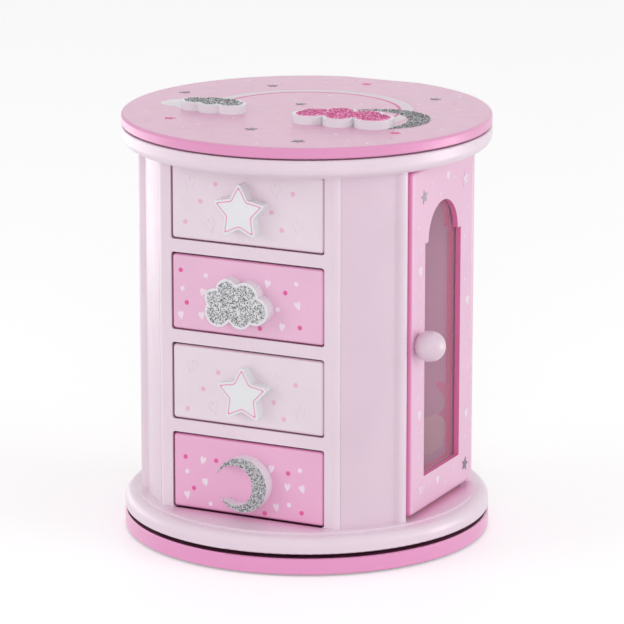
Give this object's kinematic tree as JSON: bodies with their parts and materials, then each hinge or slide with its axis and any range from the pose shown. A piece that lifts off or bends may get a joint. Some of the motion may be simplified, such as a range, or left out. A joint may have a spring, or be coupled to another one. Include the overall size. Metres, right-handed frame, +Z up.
{
  "type": "musical jewellery box",
  "caption": "Round turning music box with knobbed drawers, arched necklace doors, a hinged mirror lid and a dancer that rises and spins.",
  "frame": {"origin": "centre of the felt under the round base, on the table", "axes": "+Z up through the turntable, -Y towards the drawer fronts, +X towards the right-hand door"},
  "size_m": [0.2, 0.2, 0.236],
  "materials": {
    "pale_paint": "satin painted board, pale lilac pink",
    "pink_paint": "satin painted board, candy pink",
    "white_paint": "satin white paint",
    "rose_lining": "board faced with rose velour paper",
    "inner_board": "thin painted board",
    "felt": "pressed felt",
    "velvet": "velvet over foam",
    "steel": "plain steel",
    "brass": "bright brass",
    "tinted_pane": "clear pink-tinted acrylic",
    "mirror": "silvered glass",
    "rubber": "clear soft rubber",
    "figure": "painted moulded plastic",
    "nylon": "natural nylon"
  },
  "bodies": {
    "base": {"base_disc": "pink_paint", "felt_pad": "felt", "lower_race": "steel", "race_balls": "steel", "swivel_rivet": "steel"},
    "cabinet": {"plinth": "pale_paint", "upper_race": "steel", "front_frame": "pale_paint", "back_panel": "pale_paint", "side_walls": "rose_lining", "drawer_shelves": "inner_board", "corner_panels": "pale_paint", "door_jambs": "pale_paint", "cornice": "pale_paint", "top_deck": "rose_lining", "well_front_wall": "rose_lining", "stage_cleats": "inner_board", "stage_board": "rose_lining", "ring_rolls": "velvet", "necklace_hooks": "brass", "door_magnets": "steel", "lid_hinge_fixed_leaves": "brass", "lid_hinge_pins": "brass", "movement_frame": "brass", "music_comb": "steel"},
    "lid": {"lid_board": "pink_paint", "lid_mirror": "mirror", "lid_silver_cloud": "white_paint", "lid_pink_cloud": "white_paint", "lid_hinge_moving_leaves": "brass", "lid_bumpers": "rubber"},
    "right_door": {"right_door_frame": "pink_paint", "right_window_pane": "tinted_pane", "right_door_knob": "white_paint", "right_door_pins": "steel"},
    "left_door": {"left_door_frame": "pink_paint", "left_window_pane": "tinted_pane", "left_door_knob": "white_paint", "left_door_pins": "steel"},
    "drawer_1": {"drawer_1_front": "pale_paint", "drawer_1_box": "inner_board", "drawer_1_knob": "white_paint"},
    "drawer_2": {"drawer_2_front": "pink_paint", "drawer_2_box": "inner_board", "drawer_2_knob": "white_paint"},
    "drawer_3": {"drawer_3_front": "pale_paint", "drawer_3_box": "inner_board", "drawer_3_knob": "white_paint"},
    "drawer_4": {"drawer_4_front": "pink_paint", "drawer_4_box": "inner_board", "drawer_4_knob": "white_paint"},
    "mainspring": {"spring_barrel": "brass", "winding_key": "brass"},
    "cylinder": {"music_cylinder": "brass"},
    "fan": {"governor": "nylon"},
    "spindle": {"crown_spindle": "nylon"},
    "dancer_mount": {"ballerina_collar": "steel", "ballerina_spring": "steel"},
    "dancer": {"ballerina": "figure"}
  },
  "joints": [
    {"name": "turntable", "type": "hinge", "parent": "base", "child": "cabinet", "pos_m": [0, 0, 0.0111], "axis": [0, 0, 1], "continuous": true},
    {"name": "lid_hinge", "type": "hinge", "parent": "cabinet", "child": "lid", "pos_m": [0, 0.09765, 0.22505], "axis": [-1, 0, 0], "range_deg": [0, 100]},
    {"name": "right_door_hinge", "type": "hinge", "parent": "cabinet", "child": "right_door", "pos_m": [0.07698, 0.0358, 0.118], "axis": [0, 0, 1], "range_deg": [0, 105]},
    {"name": "left_door_hinge", "type": "hinge", "parent": "cabinet", "child": "left_door", "pos_m": [-0.07698, -0.0358, 0.118], "axis": [0, 0, 1], "range_deg": [0, 105]},
    {"name": "drawer_1_slide", "type": "slide", "parent": "cabinet", "child": "drawer_1", "axis": [0, -1, 0], "range_m": [0, 0.045]},
    {"name": "drawer_2_slide", "type": "slide", "parent": "cabinet", "child": "drawer_2", "axis": [0, -1, 0], "range_m": [0, 0.1]},
    {"name": "drawer_3_slide", "type": "slide", "parent": "cabinet", "child": "drawer_3", "axis": [0, -1, 0], "range_m": [0, 0.1]},
    {"name": "drawer_4_slide", "type": "slide", "parent": "cabinet", "child": "drawer_4", "axis": [0, -1, 0], "range_m": [0, 0.1]},
    {"name": "key_turn", "type": "hinge", "parent": "cabinet", "child": "mainspring", "pos_m": [0, 0.0545, 0.1834], "axis": [0, 1, 0], "continuous": true},
    {"name": "cylinder_turn", "type": "hinge", "parent": "cabinet", "child": "cylinder", "pos_m": [0.01355, 0.0545, 0.1834], "axis": [0, 1, 0], "continuous": true},
    {"name": "fan_turn", "type": "hinge", "parent": "cabinet", "child": "fan", "pos_m": [0.01817, 0.0545, 0.17681], "axis": [0, 1, 0], "continuous": true},
    {"name": "spindle_turn", "type": "hinge", "parent": "cabinet", "child": "spindle", "pos_m": [0, 0.0455, 0.1948], "axis": [0, 0, 1], "continuous": true},
    {"name": "dancer_fold", "type": "hinge", "parent": "cabinet", "child": "dancer_mount", "pos_m": [0, 0.0455, 0.20295], "axis": [-1, 0, 0], "range_deg": [0, 72], "deforming": ["ballerina_spring"]},
    {"name": "dancer_spin", "type": "hinge", "parent": "dancer_mount", "child": "dancer", "pos_m": [0, 0.0455, 0.20295], "axis": [0, -0.9511, 0.309], "continuous": true}
  ],
  "couplings": [
    {"joint": "cylinder_turn", "follows": "key_turn", "ratio": -2},
    {"joint": "fan_turn", "follows": "key_turn", "ratio": 6},
    {"joint": "spindle_turn", "follows": "key_turn", "ratio": -1},
    {"joint": "dancer_spin", "follows": "key_turn", "ratio": -1},
    {"joint": "dancer_fold", "follows": "lid_hinge", "ratio": 0.72}
  ]
}
